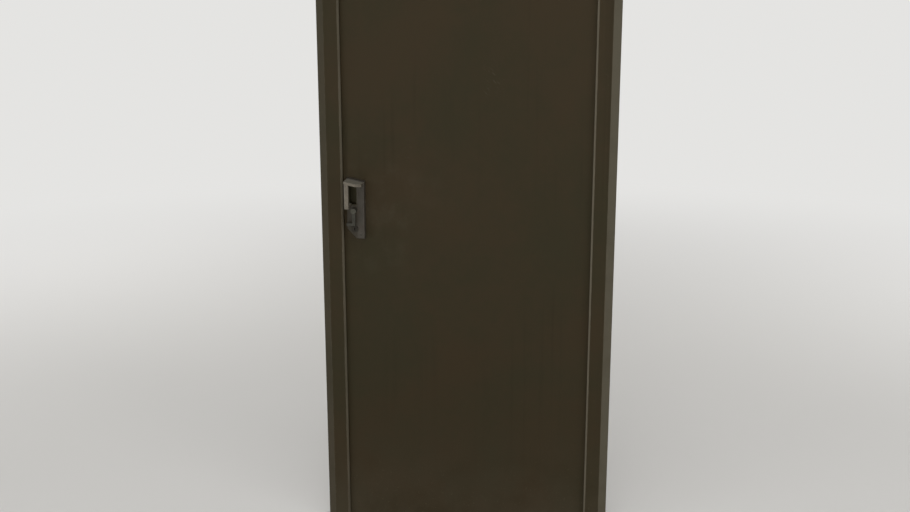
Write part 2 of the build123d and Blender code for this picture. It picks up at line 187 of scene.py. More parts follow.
class DoorFinish(bpy.types.PropertyGroup):
    """Colours of the paint, the steel and the small parts."""

    brown: colour_property("Brown", "Main tone of the door paint", (0.0300, 0.0205, 0.0088))
    olive: colour_property("Olive", "Second tone that the paint drifts to", (0.0258, 0.0212, 0.0096))
    # Faded is the pale hand marks on the leaf, and also a painted highlight on the frame's splayed edges
    # for the light from the sides; Bevel is a painted highlight on the frame's inner bevels.
    pale_wear_and_highlight: colour_property("Faded", "Paint on the splayed edges, worn and dusty", (0.080, 0.070, 0.048))
    bevel: colour_property("Bevel", "Paint on the narrow inner bevel, rubbed thin", (0.125, 0.109, 0.079))
    primer: colour_property("Primer", "What shows where edges are rubbed", (0.150, 0.128, 0.095))
    dust: colour_property("Dust", "Dust and splashes near the floor", (0.085, 0.070, 0.048))
    # Settled dust is pale dust on the pull's upward faces, and also a painted highlight for the light from
    # above.
    top_dust_and_light: colour_property("Settled dust", "Pale dust on top of the pull", (0.160, 0.148, 0.118))
    case: colour_property("Case grey", "Paint of the lock case", (0.044, 0.038, 0.029))
    steel: colour_property("Steel", "Handled steel of the pull and the sill", (0.158, 0.138, 0.108))
    lever: colour_property("Lever", "Darker steel of the lever", (0.042, 0.040, 0.030))
    lock: colour_property("Lock", "Browned steel of the lock cylinder", (0.024, 0.020, 0.013))
    screw: colour_property("Screw", "Dull steel of the case screws", (0.070, 0.064, 0.052))
    zinc: colour_property("Zinc", "Plated lock parts, hinge pins and screws", (0.260, 0.255, 0.235))
    stain: colour_property("Stain", "Rust and old oil", (0.050, 0.026, 0.011))
    rubber: colour_property("Rubber", "Seal strips", (0.060, 0.049, 0.031))
    plastic: colour_property("Plastic", "Plugs over the wall fixings", (0.0150, 0.0125, 0.0065))
    # Pocket is dark so that the finger pocket stands for the shade behind the pull: painted shade.
    pocket: colour_property("Pocket", "Inside of the finger pocket", (0.025, 0.021, 0.009))
    # Grease stands for hand grease and for painted shade on the case, left of the pocket and below the
    # lever's top.
    grease_and_shade: colour_property("Grease", "Hand grease on the case round the lever", (0.024, 0.019, 0.011))


class DoorFastening(bpy.types.PropertyGroup):
    """Sizes of the screws and the weld seams."""

    screw_radius: length_property("Screw head", "Radius of a case screw's head", 0.0036)
    screw_height: length_property("Screw rise", "Height of a case screw's head", 0.0018)
    lock_screw_radius: length_property("Lock screw", "Radius of a strike or forend screw's head", 0.0042)
    sill_screw_radius: length_property("Sill screw", "Radius of a sill screw's head", 0.0082)
    weld_radius: length_property("Weld", "Half width of a hinge weld", 0.0030)
    weld_pitch: length_property("Weld ripple", "Distance between a weld's ripples", 0.0026)
    mitre_radius: length_property("Mitre weld", "Half width of the dressed weld at a corner", 0.0026)
    head_sides: IntProperty(
        name="Head sides", description="Points round a screw's head", default=64, min=24, max=128
    )


class DoorStudio(bpy.types.PropertyGroup):
    """Camera, floor and lamps."""

    eye: FloatVectorProperty(
        name="Eye",
        description="Where the camera stands",
        default=(0.437, -3.735, 1.928),
        size=3,
        subtype="TRANSLATION",
        unit="LENGTH",
    )
    pitch: angle_property("Pitch", "How far the camera looks down", 15.24)
    yaw: angle_property("Yaw", "How far the camera turns left", 7.24)
    lens: FloatProperty(
        name="Lens", description="Focal length in millimetres", default=50.0, min=10, max=200
    )
    floor: colour_property("Floor", "Pale floor and backdrop", (0.72, 0.71, 0.69))
    sky: FloatProperty(name="Sky", description="Level of the even light", default=0.30, min=0, max=2)
    left_lamp: lamp_property("Left lamp", "Power of the lamp at the left", 38)
    right_lamp: lamp_property("Right lamp", "Power of the lamp at the right", 44)
    front_lamp: lamp_property("Front lamp", "Power of the lamp in front", 86)
    top_lamp: lamp_property("Top lamp", "Power of the lamp overhead", 40)
    back_lamp: lamp_property("Back lamps", "Power of each lamp behind", 80)


# Meshes


def ring_quads(rings, around):
    """Quads between neighbouring rings of points, closed round each ring."""
    ring = np.arange(rings - 1)[:, None] * around
    here = np.arange(around)[None, :]
    beyond = (here + 1) % around
    quads = [ring + here, ring + beyond, ring + around + beyond, ring + around + here]
    return np.stack(quads, axis=-1).reshape(-1, 4)


def pole_fan(pole, first, around, flip):
    """Triangles from a pole point to the ring of points that starts at first."""
    here = first + np.arange(around)
    beyond = first + (np.arange(around) + 1) % around
    order = (here, beyond) if flip else (beyond, here)
    return np.stack([np.full(around, pole), *order], axis=-1)


def closed_rings(rings, near_pole, far_pole):
    """A closed skin over rings of points with a pole point at each end: points, quads, triangles."""
    count, around, _ = rings.shape
    points = np.concatenate([rings.reshape(-1, 3), near_pole[None], far_pole[None]])
    near, far = count * around, count * around + 1
    ends = [pole_fan(near, 0, around, False), pole_fan(far, (count - 1) * around, around, True)]
    return points, ring_quads(count, around), np.concatenate(ends)


def gather(parts):
    """Several skins put together as one set of points and faces."""
    points, quads, fans, start = [], [], [], 0
    for part_points, part_quads, part_fans in parts:
        points.append(part_points)
        quads.append(part_quads + start)
        fans.append(part_fans + start)
        start += len(part_points)
    return np.concatenate(points), np.concatenate(quads), np.concatenate(fans)


def skin_volume(points, quads, fans):
    """The volume inside a closed skin, positive when its faces point outwards."""
    triangles = np.concatenate([quads[:, [0, 1, 2]], quads[:, [0, 2, 3]], fans])
    a, b, c = (points[triangles[:, i]] for i in range(3))
    return np.einsum("ij,ij->i", a, np.cross(b, c)).sum() / 6


def smooth_object(name, points, faces, material):
    """A mesh object with smooth shading and one material, put in the scene."""
    mesh = bpy.data.meshes.new(name)
    mesh.from_pydata(points.tolist(), [], faces)
    mesh.polygons.foreach_set("use_smooth", np.ones(len(mesh.polygons), dtype=bool))
    mesh.update()
    mesh.materials.append(material)
    made = bpy.data.objects.new(name, mesh)
    bpy.context.scene.collection.objects.link(made)
    return made


def make_piece(name, parts, body, material):
    """A piece from closed skins, with faces outwards, riding on a body."""
    points, quads, fans = gather(parts)
    if skin_volume(points - points.mean(axis=0), quads, fans) < 0:
        quads, fans = quads[:, ::-1], fans[:, ::-1]
    piece = smooth_object(name, points, quads.tolist() + fans.tolist(), material)
    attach(piece, body)


def smooth(value):
    """Zero below 0, one above 1, and an even S between."""
    t = np.clip(value, 0, 1)
    return t * t * (3 - 2 * t)


def screw_head(place, out, along, radius, height, turn, sides):
    """One domed screw head with a cross recess, set on a face.

    At r, the share of the radius R, the height is H (1 - 0.45 r^2). It falls by another 0.25 H over
    the outer tenth, and by 0.75 H in the cross, where min(|x|, |y|) is under 0.24 R and r under 0.68.
    All steps are soft, and the last ring goes into the face by 0.25 H.
    """
    dome, rim, seat, cross_depth = 0.45, 0.25, 0.25, 0.75
    arm_width, arm_reach, arm_soft = 0.24, 0.68, 0.12
    share = np.concatenate([np.linspace(0.07, 0.93, 17), [0.985, 1.0, 1.0]])
    angle = np.linspace(0, 2 * math.pi, sides, endpoint=False)
    r, a = np.meshgrid(share, angle, indexing="ij")
    x, y = r * np.cos(a), r * np.sin(a)
    arm = smooth((arm_width - np.minimum(np.abs(x), np.abs(y))) / arm_soft)
    recess = cross_depth * arm * smooth((arm_reach - r) / arm_soft)
    rise = 1 - dome * r**2 - rim * smooth((r - 0.9) / 0.1) - recess
    rise[-1] = -seat
    spun_x = x * math.cos(turn) - y * math.sin(turn)
    spun_y = x * math.sin(turn) + y * math.cos(turn)
    place, out, along = (np.asarray(v, float) for v in (place, out, along))
    across = np.cross(out, along)
    flat = radius * (spun_x[..., None] * along + spun_y[..., None] * across)
    rings = place + flat + height * rise[..., None] * out
    top = place + height * (1 - cross_depth) * out
    bottom = place - height * seat * out
    return closed_rings(rings, top, bottom)


def screw_heads(spots, out, along, radius, height, sides):
    """Screw heads on one face, from each head's place and turn."""
    return [screw_head(place, out, along, radius, height, turn, sides) for place, turn in spots]


def weld_bead(corners, outs, radius, pitch, rise=1.0, ripple=0.16):
    """A weld bead carried along a line of corners.

    A ring of points at each step s has the radius R (1 + k (|sin(pi s / pitch)| - 0.5)), with k the
    ripple. Within 2 R of an end it is narrowed by the square root of the distance left over 2 R. The
    line and outs, the normals of the faces it lies on, are eased at the corners by a running mean.
    """
    corners, outs = np.asarray(corners, float), np.asarray(outs, float)
    reach = np.concatenate([[0], np.cumsum(np.linalg.norm(np.diff(corners, axis=0), axis=1))])
    count = max(int(reach[-1] / WELD_STEP), 12)
    s = np.linspace(0, reach[-1], count)
    window = np.hanning(2 * WELD_EASE + 1)
    window /= window.sum()

    def eased(values):
        """The values at each step, averaged with their neighbours."""
        line = np.stack([np.interp(s, reach, values[:, i]) for i in range(3)], axis=1)
        padded = np.pad(line, ((WELD_EASE, WELD_EASE), (0, 0)), mode="edge")
        return np.stack([np.convolve(padded[:, i], window, mode="valid") for i in range(3)], axis=1)

    line, out = eased(corners), eased(outs)
    out /= np.linalg.norm(out, axis=1, keepdims=True)
    tangent = np.gradient(line, axis=0)
    tangent /= np.linalg.norm(tangent, axis=1, keepdims=True)
    side = np.cross(tangent, out)
    taper = np.sqrt(np.clip(np.minimum(s, reach[-1] - s) / (2 * radius), 0, 1))
    wave = 1 + ripple * (np.abs(np.sin(math.pi * s / pitch)) - 0.5)
    size = radius * wave * np.clip(taper, 0.05, 1)
    angle = np.linspace(0, 2 * math.pi, WELD_SIDES, endpoint=False)
    ring = side[:, None] * np.cos(angle)[:, None] + rise * out[:, None] * np.sin(angle)[:, None]
    rings = line[:, None] + size[:, None, None] * ring
    return closed_rings(rings, line[0], line[-1])


# Shader nodes


def put(tree, kind, sockets=None, **settings):
    """Adds a node, sets its options, and sets or links its inputs by name or number."""
    made = tree.nodes.new(kind)
    for key, value in settings.items():
        setattr(made, key, value)
    for key, value in (sockets or {}).items():
        if isinstance(value, bpy.types.NodeSocket):
            tree.links.new(value, made.inputs[key])
        else:
            made.inputs[key].default_value = value
    return made


def sums(tree, operation, a, b, clamp=False):
    """One step of arithmetic on two values."""
    return put(tree, "ShaderNodeMath", {0: a, 1: b}, operation=operation, use_clamp=clamp).outputs[0]


def scaled(tree, value, share):
    """A value times a share, which may itself vary."""
    return sums(tree, "MULTIPLY", value, share)


def spread(tree, value, low, high, to_low=0.0, to_high=1.0):
    """Carries a range of values to another range with a soft start and end."""
    sockets = {"Value": value, "From Min": low, "From Max": high, "To Min": to_low, "To Max": to_high}
    return put(tree, "ShaderNodeMapRange", sockets, interpolation_type="SMOOTHSTEP").outputs["Result"]


def blended(tree, factor, a, b):
    """Two colours mixed by a factor."""
    a, b = ((*tone, 1.0) if isinstance(tone, tuple) else tone for tone in (a, b))
    return put(tree, "ShaderNodeMix", {0: factor, 6: a, 7: b}, data_type="RGBA").outputs[2]


def shaded(tone, share):
    """A colour made darker or lighter."""
    return tuple(min(share * c, 1.0) for c in tone)


def stretched(tree, place, factors):
    """The place with each axis multiplied, which draws a pattern out."""
    sockets = {0: place, 1: factors}
    return put(tree, "ShaderNodeVectorMath", sockets, operation="MULTIPLY").outputs[0]


def noise(tree, place, scale, detail=2.0, roughness=0.5, distortion=0.0):
    """A cloudy value from 0 to 1."""
    sockets = {
        "Vector": place,
        "Scale": scale,
        "Detail": detail,
        "Roughness": roughness,
        "Distortion": distortion,
    }
    return put(tree, "ShaderNodeTexNoise", sockets).outputs["Fac"]


def new_group(name, inputs, outputs):
    """An empty shader node group: the tree, its inner inputs and its inner outputs."""
    tree = bpy.data.node_groups.new(name, "ShaderNodeTree")
    for label, kind, default in inputs:
        socket = tree.interface.new_socket(name=label, in_out="INPUT", socket_type="NodeSocket" + kind)
        socket.default_value = default
    for label in outputs:
        kind = "Vector" if label == "Normal" else "Float"
        tree.interface.new_socket(name=label, in_out="OUTPUT", socket_type="NodeSocket" + kind)
    inner_in = tree.nodes.new("NodeGroupInput").outputs
    inner_out = tree.nodes.new("NodeGroupOutput").inputs
    return tree, inner_in, inner_out


def build_coat_group():
    """Sprayed paint: drifting tone, fine peel, faint runs and short scratches."""
    tree, given, result = new_group(
        "sprayed_coat",
        [("Place", "Vector", NOWHERE), ("Patch", "Float", 2.6), ("Peel Scale", "Float", 420.0)],
        ["Tone", "Peel", "Run", "Scratch"],
    )
    place = given["Place"]
    broad = noise(tree, place, given["Patch"], detail=3.0, roughness=0.55, distortion=0.4)
    close = noise(tree, place, scale=38.0, detail=4.0, roughness=0.6)
    tone = sums(tree, "ADD", scaled(tree, broad, 0.75), scaled(tree, close, 0.25))
    tree.links.new(spread(tree, tone, 0.36, 0.66), result["Tone"])
    tree.links.new(noise(tree, place, given["Peel Scale"], roughness=0.45), result["Peel"])
    drawn = stretched(tree, place, (46.0, 46.0, 0.9))
    runs = noise(tree, drawn, scale=1.0, detail=3.0, roughness=0.55)
    patches = noise(tree, place, scale=1.7, detail=1.0)
    run = scaled(tree, spread(tree, runs, 0.52, 0.72), spread(tree, patches, 0.42, 0.64))
    tree.links.new(run, result["Run"])
    turned = put(tree, "ShaderNodeMapping", {"Vector": place, "Rotation": (0.2, 0.9, 0.3)}).outputs[0]
    hair = noise(tree, stretched(tree, turned, (460.0, 460.0, 7.0)), scale=1.0, detail=0.0)
    kept = spread(tree, noise(tree, place, scale=6.0, detail=3.0), 0.62, 0.74)
    tree.links.new(scaled(tree, spread(tree, hair, 0.70, 0.76), kept), result["Scratch"])
    return tree


def build_edge_group():
    """Rounded edges and where hands and trolleys have rubbed them."""
    tree, given, result = new_group(
        "rubbed_edge",
        [("Place", "Vector", NOWHERE), ("Radius", "Float", 0.0015), ("Break", "Float", 26.0)],
        ["Rub", "Normal"],
    )
    rounded = put(tree, "ShaderNodeBevel", {"Radius": given["Radius"]}, samples=6).outputs["Normal"]
    sockets = {0: rounded, 1: put(tree, "ShaderNodeNewGeometry").outputs["Normal"]}
    same = put(tree, "ShaderNodeVectorMath", sockets, operation="DOT_PRODUCT").outputs["Value"]
    turn = spread(tree, sums(tree, "SUBTRACT", 1.0, same), 0.006, 0.07)
    cloud = noise(tree, given["Place"], given["Break"], detail=6.0, roughness=0.72)
    tree.links.new(scaled(tree, turn, spread(tree, cloud, 0.46, 0.60)), result["Rub"])
    tree.links.new(rounded, result["Normal"])
    return tree


def build_foot_group():
    """Dust and splashes that thin out above the floor."""
    tree, given, result = new_group(
        "foot_dirt", [("Place", "Vector", NOWHERE), ("Reach", "Float", 0.45)], ["Dirt", "Spot"]
    )
    place = given["Place"]
    height = put(tree, "ShaderNodeSeparateXYZ", {0: place}).outputs["Z"]
    cloud = noise(tree, place, scale=7.0, detail=5.0, roughness=0.6)
    lifted = sums(tree, "ADD", height, scaled(tree, sums(tree, "SUBTRACT", cloud, 0.5), 0.3))
    fall = sums(tree, "SUBTRACT", 1.0, sums(tree, "DIVIDE", lifted, given["Reach"]), clamp=True)
    low = sums(tree, "POWER", fall, 1.8)
    tree.links.new(scaled(tree, low, spread(tree, cloud, 0.25, 0.75)), result["Dirt"])
    flecks = noise(tree, place, scale=160.0, roughness=0.6)
    tree.links.new(scaled(tree, low, spread(tree, flecks, 0.66, 0.72)), result["Spot"])
    return tree


def build_steel_group():
    """Drawn steel: a grain along one way, cloudy tarnish and pits."""
    tree, given, result = new_group(
        "drawn_steel",
        [("Place", "Vector", NOWHERE), ("Draw", "Vector", EVEN_GRAIN), ("Cloud", "Float", 42.0)],
        ["Grain", "Tarnish", "Pit"],
    )
    place = given["Place"]
    drawn = stretched(tree, place, given["Draw"])
    tree.links.new(noise(tree, drawn, scale=1.0, detail=3.0, roughness=0.6), result["Grain"])
    cloud = noise(tree, place, given["Cloud"], detail=4.0, roughness=0.6, distortion=0.5)
    tree.links.new(spread(tree, cloud, 0.36, 0.68), result["Tarnish"])
    pits = noise(tree, place, scale=620.0, detail=3.0, roughness=0.6)
    tree.links.new(spread(tree, pits, 0.62, 0.74), result["Pit"])
    return tree


GROUP_BUILDERS = {
    "sprayed_coat": build_coat_group,
    "rubbed_edge": build_edge_group,
    "foot_dirt": build_foot_group,
    "drawn_steel": build_steel_group,
}


def use_group(tree, name, **values):
    """Places a shared group in a material, with its own values."""
    group = bpy.data.node_groups.get(name) or GROUP_BUILDERS[name]()
    sockets = {key.replace("_", " "): value for key, value in values.items()}
    return put(tree, "ShaderNodeGroup", sockets, node_tree=group).outputs


# Materials


def start_material(name):
    """An empty node material: its tree, its shader and the place on the object."""
    material = bpy.data.materials.new(name)
    material.use_nodes = True
    tree = material.node_tree
    tree.nodes.clear()
    shader = tree.nodes.new("ShaderNodeBsdfPrincipled")
    put(tree, "ShaderNodeOutputMaterial", {"Surface": shader.outputs[0]})
    place = put(tree, "ShaderNodeTexCoord").outputs["Object"]
    return material, tree, shader, place


def set_shader(tree, shader, colour, rough, height, edge=None, depth=BUMP_DEPTH, **fixed):
    """Joins colour, roughness and bumps to the shader, and sets its plain values."""
    tree.links.new(colour, shader.inputs["Base Color"])
    tree.links.new(rough, shader.inputs["Roughness"])
    sockets = {"Height": height, "Distance": depth, "Strength": 1.0}
    if edge is not None:
        sockets["Normal"] = edge["Normal"]
    bump = put(tree, "ShaderNodeBump", sockets)
    tree.links.new(bump.outputs[0], shader.inputs["Normal"])
    for key, value in fixed.items():
        shader.inputs[key.replace("_", " ")].default_value = value


def slope_masks(tree):
    """One on the splayed outer edges, and one on the even bevel of the inner edges."""
    normal = put(tree, "ShaderNodeNewGeometry").outputs["True Normal"]
    size = put(tree, "ShaderNodeVectorMath", {0: normal}, operation="ABSOLUTE").outputs[0]
    parts = put(tree, "ShaderNodeSeparateXYZ", {0: size}).outputs
    most = sums(tree, "MAXIMUM", sums(tree, "MAXIMUM", parts["X"], parts["Y"]), parts["Z"])
    slope = spread(tree, most, 0.985, 0.95)
    even = spread(tree, most, 0.79, 0.75)
    return slope, even


def distance_from(tree, place, centre, kept=(1.0, 1.0, 1.0)):
    """How far the place lies from a point, along the axes that are kept."""
    flat_centre = tuple(c * k for c, k in zip(centre, kept))
    sockets = {0: stretched(tree, place, kept), 1: flat_centre}
    return put(tree, "ShaderNodeVectorMath", sockets, operation="DISTANCE").outputs["Value"]


def splay_highlight(tree, place, colour, finish):
    """Paints the splayed edges and the inner bevels lighter, in patches, as painted highlights for the side
    light on them; weaker on the lock side's post.
    """
    cloud = noise(tree, place, scale=11.0, detail=4.0, roughness=0.6)
    patchy = spread(tree, cloud, 0.2, 0.6, to_low=0.65)
    # Painted shade: towards the lock side's post, at the left, the highlights grow weaker.
    across = put(tree, "ShaderNodeSeparateXYZ", {0: place}).outputs["X"]
    patchy = scaled(tree, patchy, spread(tree, across, -0.4, 0.4, to_low=LOCK_SIDE_HIGHLIGHT))
    # Painted highlights: the splays and the inner bevels take lighter colours where side light would fall
    # on them.
    slope, even = slope_masks(tree)
    colour = blended(tree, scaled(tree, slope, patchy), colour, tuple(finish.pale_wear_and_highlight))
    return blended(tree, scaled(tree, even, patchy), colour, tuple(finish.bevel))


def hand_wear(tree, place, colour, finish):
    """Pale marks that hands leave on the leaf beside the lock."""
    centre = (LEVER_AXIS[0] + HAND_REACH, LEAF_MIDDLE, LEVER_AXIS[2])
    near = spread(tree, distance_from(tree, place, centre), HAND_SPREAD, HAND_SPREAD * 0.15)
    cloud = noise(tree, place, scale=17.0, detail=5.0, roughness=0.65)
    spot = scaled(tree, near, spread(tree, cloud, 0.45, 0.75))
    return blended(tree, scaled(tree, spot, HAND_SHARE), colour, tuple(finish.pale_wear_and_highlight))


def oil_seep(tree, place, colour, finish):
    """Old oil that has run down the hinge barrels."""
    away = distance_from(tree, place, LEAF_AXIS, kept=(1.0, 1.0, 0.0))
    drawn = stretched(tree, place, (240.0, 240.0, 9.0))
    seep = spread(tree, noise(tree, drawn, scale=1.0, detail=3.0, roughness=0.6), 0.42, 0.66)
    oil = scaled(tree, spread(tree, away, OIL_REACH, BARREL_RADIUS, to_high=OIL_SHARE), seep)
    return blended(tree, oil, colour, shaded(finish.stain, 0.45))


def paint_material(name, finish, worn_edges, edge_radius, wear, dents=0.0):
    """Door paint with drifting tone, runs, scratches, rubbed edges and dirt near the floor, and each
    paint's own marks: hand marks on the leaf, oil on the hinges, painted highlights on the frame.
    """
    material, tree, shader, place = start_material(name)
    coat = use_group(tree, "sprayed_coat", Place=place)
    edge = use_group(tree, "rubbed_edge", Place=place, Radius=edge_radius)
    foot = use_group(tree, "foot_dirt", Place=place)
    colour = blended(tree, coat["Tone"], tuple(finish.brown), tuple(finish.olive))
    colour = blended(tree, scaled(tree, coat["Run"], RUN_SHARE), colour, shaded(finish.brown, 0.5))
    # Each paint's own marks: hand marks, hinge oil, and on the frame painted highlights and painted shade.
    colour = wear(tree, place, colour, finish)
    colour = blended(tree, scaled(tree, edge["Rub"], worn_edges), colour, tuple(finish.primer))
    colour = blended(tree, scaled(tree, coat["Scratch"], SCRATCH_SHARE), colour, tuple(finish.primer))
    flecks = scaled(tree, foot["Spot"], FLECK_SHARE)
    dirt = sums(tree, "ADD", scaled(tree, foot["Dirt"], DIRT_SHARE), flecks, clamp=True)
    colour = blended(tree, dirt, colour, tuple(finish.dust))
    rough = spread(tree, coat["Tone"], 0.0, 1.0, to_low=0.50, to_high=0.62)
    rough = sums(tree, "ADD", rough, scaled(tree, dirt, 0.2))
    rough = sums(tree, "ADD", rough, scaled(tree, coat["Run"], 0.06), clamp=True)
    sag = scaled(tree, noise(tree, place, scale=3.2, detail=1.0, roughness=0.4), dents)
    height = sums(tree, "ADD", scaled(tree, coat["Peel"], PEEL_HEIGHT), sag)
    height = sums(tree, "SUBTRACT", height, scaled(tree, coat["Scratch"], 0.12))
    set_shader(tree, shader, colour, rough, height, edge, Specular_IOR_Level=0.16, Metallic=0.0)
    return material


def case_material(name, finish):
    """Grey paint of the lock case, rubbed at its edges, and greasy with painted shade round the lever."""
    material, tree, shader, place = start_material(name)
    coat = use_group(tree, "sprayed_coat", Place=place, Patch=30.0, Peel_Scale=700.0)
    edge = use_group(tree, "rubbed_edge", Place=place, Radius=0.0010, Break=70.0)
    colour = blended(tree, coat["Tone"], tuple(finish.case), shaded(finish.case, 0.80))
    cloud = spread(tree, noise(tree, place, scale=60.0, detail=5.0, roughness=0.65), 0.50, 0.74)
    colour = blended(tree, scaled(tree, cloud, 0.35), colour, tuple(finish.stain))
    colour = blended(tree, scaled(tree, coat["Scratch"], 0.3), colour, tuple(finish.primer))
    # Grease and painted shade: the case darkens left of the pocket's right side and below the lever's top,
    # in smeared patches.
    parts = put(tree, "ShaderNodeSeparateXYZ", {0: place}).outputs
    left = spread(tree, parts["X"], *GREASE_AND_SHADE_ACROSS)
    low = spread(tree, parts["Z"], *GREASE_AND_SHADE_DOWN)
    smear = noise(tree, place, scale=55.0, detail=3.0, roughness=0.55)
    smeared = spread(tree, smear, 0.25, 0.6, to_low=0.70, to_high=0.95)
    grease_and_shade = scaled(tree, scaled(tree, left, low), smeared)
    colour = blended(tree, grease_and_shade, colour, tuple(finish.grease_and_shade))
    colour = blended(tree, scaled(tree, edge["Rub"], 0.75), colour, tuple(finish.steel))
    rough = spread(tree, coat["Tone"], 0.0, 1.0, to_low=0.42, to_high=0.58)
    height = sums(tree, "ADD", scaled(tree, coat["Peel"], PEEL_HEIGHT), scaled(tree, cloud, -0.04))
    set_shader(tree, shader, colour, rough, height, edge, Specular_IOR_Level=0.35, Metallic=0.0)
    return material


def steel_material(name, finish, tone, draw, rust, bare, edge_radius, dusty=0.0, boss=None):
    """Bare steel with a drawn grain, tarnish, pits and brighter rubbed edges.

    dusty is the share of pale dust on upward faces, which also stands as a painted highlight for the light
    from above, and boss the radius about the lever's axis that fingers have polished.
    """
    material, tree, shader, place = start_material(name)
    steel = use_group(tree, "drawn_steel", Place=place, Draw=draw)
    edge = use_group(tree, "rubbed_edge", Place=place, Radius=edge_radius, Break=110.0)
    colour = blended(tree, steel["Grain"], shaded(tone, 0.82), shaded(tone, 1.15))
    colour = blended(tree, scaled(tree, steel["Tarnish"], 0.45), colour, shaded(tone, 0.45))
    stain = sums(tree, "MULTIPLY", steel["Pit"], rust, clamp=True)
    colour = blended(tree, stain, colour, tuple(finish.stain))
    bright = shaded(tone, 1.6)
    colour = blended(tree, scaled(tree, edge["Rub"], 0.7), colour, bright)
    if boss:
        away = distance_from(tree, place, LEVER_AXIS, kept=(1.0, 0.0, 1.0))
        polish = spread(tree, away, 1.02 * boss, 0.9 * boss, to_high=0.8)
        colour = blended(tree, polish, colour, bright)
    # Pale dust on upward faces, also a painted highlight for the light from above.
    if dusty:
        normal = put(tree, "ShaderNodeNewGeometry").outputs["True Normal"]
        upward = put(tree, "ShaderNodeSeparateXYZ", {0: normal}).outputs["Z"]
        cloud = noise(tree, place, scale=90.0, detail=4.0, roughness=0.6)
        patchy = spread(tree, cloud, 0.25, 0.55, to_low=0.6)
        top_dust_and_light_mask = scaled(tree, spread(tree, upward, 0.5, 0.9, to_high=dusty), patchy)
        colour = blended(tree, top_dust_and_light_mask, colour, tuple(finish.top_dust_and_light))
        stain = sums(tree, "ADD", stain, top_dust_and_light_mask, clamp=True)
    rough = spread(tree, steel["Grain"], 0.2, 0.8, to_low=0.30, to_high=0.42)
    rough = sums(tree, "ADD", rough, scaled(tree, stain, 0.3))
    rough = sums(tree, "ADD", rough, scaled(tree, steel["Tarnish"], 0.14), clamp=True)
    metal = sums(tree, "SUBTRACT", bare, scaled(tree, stain, 0.7), clamp=True)
    tree.links.new(metal, shader.inputs["Metallic"])
    height = sums(tree, "SUBTRACT", scaled(tree, steel["Grain"], 0.03), scaled(tree, stain, 0.08))
    set_shader(tree, shader, colour, rough, height, edge)
    return material


def soft_material(name, finish, tone, bloom, rough_low, rough_high):
    """Rubber or plastic with a fine moulded grain, a pale bloom and dust."""
    material, tree, shader, place = start_material(name)
    grain = noise(tree, place, scale=1400.0)
    cloud = noise(tree, place, scale=34.0, detail=5.0, roughness=0.65)
    colour = blended(tree, cloud, shaded(tone, 0.75), shaded(tone, 1.3))
    pale = scaled(tree, spread(tree, cloud, 0.48, 0.78), bloom)
    colour = blended(tree, pale, colour, tuple(finish.dust))
    rough = spread(tree, cloud, 0.3, 0.7, to_low=rough_low, to_high=rough_high)
    edge = use_group(tree, "rubbed_edge", Place=place, Radius=0.0006, Break=60.0)
    height = scaled(tree, grain, 0.06)
    set_shader(tree, shader, colour, rough, height, edge, Specular_IOR_Level=0.3, Metallic=0.0)
    return material


def floor_material(name, tone):
    """A pale matt floor that the camera sees fade to one even tone far from the door."""
    material, tree, shader, place = start_material(name)
    cloud = noise(tree, place, scale=0.7, detail=3.0)
    colour = blended(tree, cloud, tone, shaded(tone, 0.97))
    rough = spread(tree, cloud, 0.2, 0.8, to_low=0.8, to_high=0.9)
    height = noise(tree, place, scale=60.0)
    set_shader(tree, shader, colour, rough, height, depth=0.0002, Specular_IOR_Level=0.1)
    away = put(tree, "ShaderNodeVectorMath", {0: place}, operation="LENGTH").outputs["Value"]
    path = put(tree, "ShaderNodeLightPath").outputs
    seen = sums(tree, "MAXIMUM", path["Is Camera Ray"], path["Is Glossy Ray"])
    far = scaled(tree, spread(tree, away, 1.6, 5.5), seen)
    glow = put(tree, "ShaderNodeEmission", {"Color": BACKDROP_TONE})
    mixed = put(tree, "ShaderNodeMixShader", {0: far, 1: shader.outputs[0], 2: glow.outputs[0]})
    output = next(n for n in tree.nodes if n.type == "OUTPUT_MATERIAL")
    tree.links.new(mixed.outputs[0], output.inputs["Surface"])
    return material


def finish_named(name, maker, finish, **values):
    """A material that is made once and then found by its name."""
    return bpy.data.materials.get(name) or maker(name, finish, **values)


def dress(names, material):
    """Gives solids their material."""
    for name in names:
        slots = frame["nodes"][name].data.materials
        slots.clear()
        slots.append(material)


def frame_paint(finish):
    """The frame's paint, with painted highlights on its splayed edges and inner bevels."""
    values = {"worn_edges": 0.85, "edge_radius": 0.0022, "wear": splay_highlight}
    return finish_named("frame_paint_worn", paint_material, finish, **values)


def leaf_paint(finish):
    """The leaf's paint, with hand marks and a slightly uneven sheet."""
    values = {"worn_edges": 0.55, "edge_radius": 0.0016, "wear": hand_wear, "dents": 0.9}
    return finish_named("leaf_paint_matt", paint_material, finish, **values)


def hinge_paint(finish):
    """The hinges' paint, worn more than the rest and oily on the barrels."""
    values = {"worn_edges": 1.0, "edge_radius": 0.0016, "wear": oil_seep}
    return finish_named("hinge_paint_rubbed", paint_material, finish, **values)


def steel_named(name, finish, tone, **values):
    """One of the steels, by the name of its material."""
    return finish_named(name, steel_material, finish, tone=tuple(tone), **values)


def soft_named(name, finish, tone, **values):
    """Rubber or plastic, by the name of its material."""
    return finish_named(name, soft_material, finish, tone=tuple(tone), **values)


def zinc_steel(finish):
    """Plated steel of the lock parts, pins and screws."""
    values = {"draw": PLATED_GRAIN, "rust": 0.35, "bare": 0.85, "edge_radius": 0.0005}
    return steel_named("zinc_plate", finish, finish.zinc, **values)


def screw_steel(finish):
    """Dull steel of the screws in the lock cases."""
    values = {"draw": EVEN_GRAIN, "rust": 0.4, "bare": 0.6, "edge_radius": 0.0003}
    return steel_named("screw_steel", finish, finish.screw, **values)


# Operators


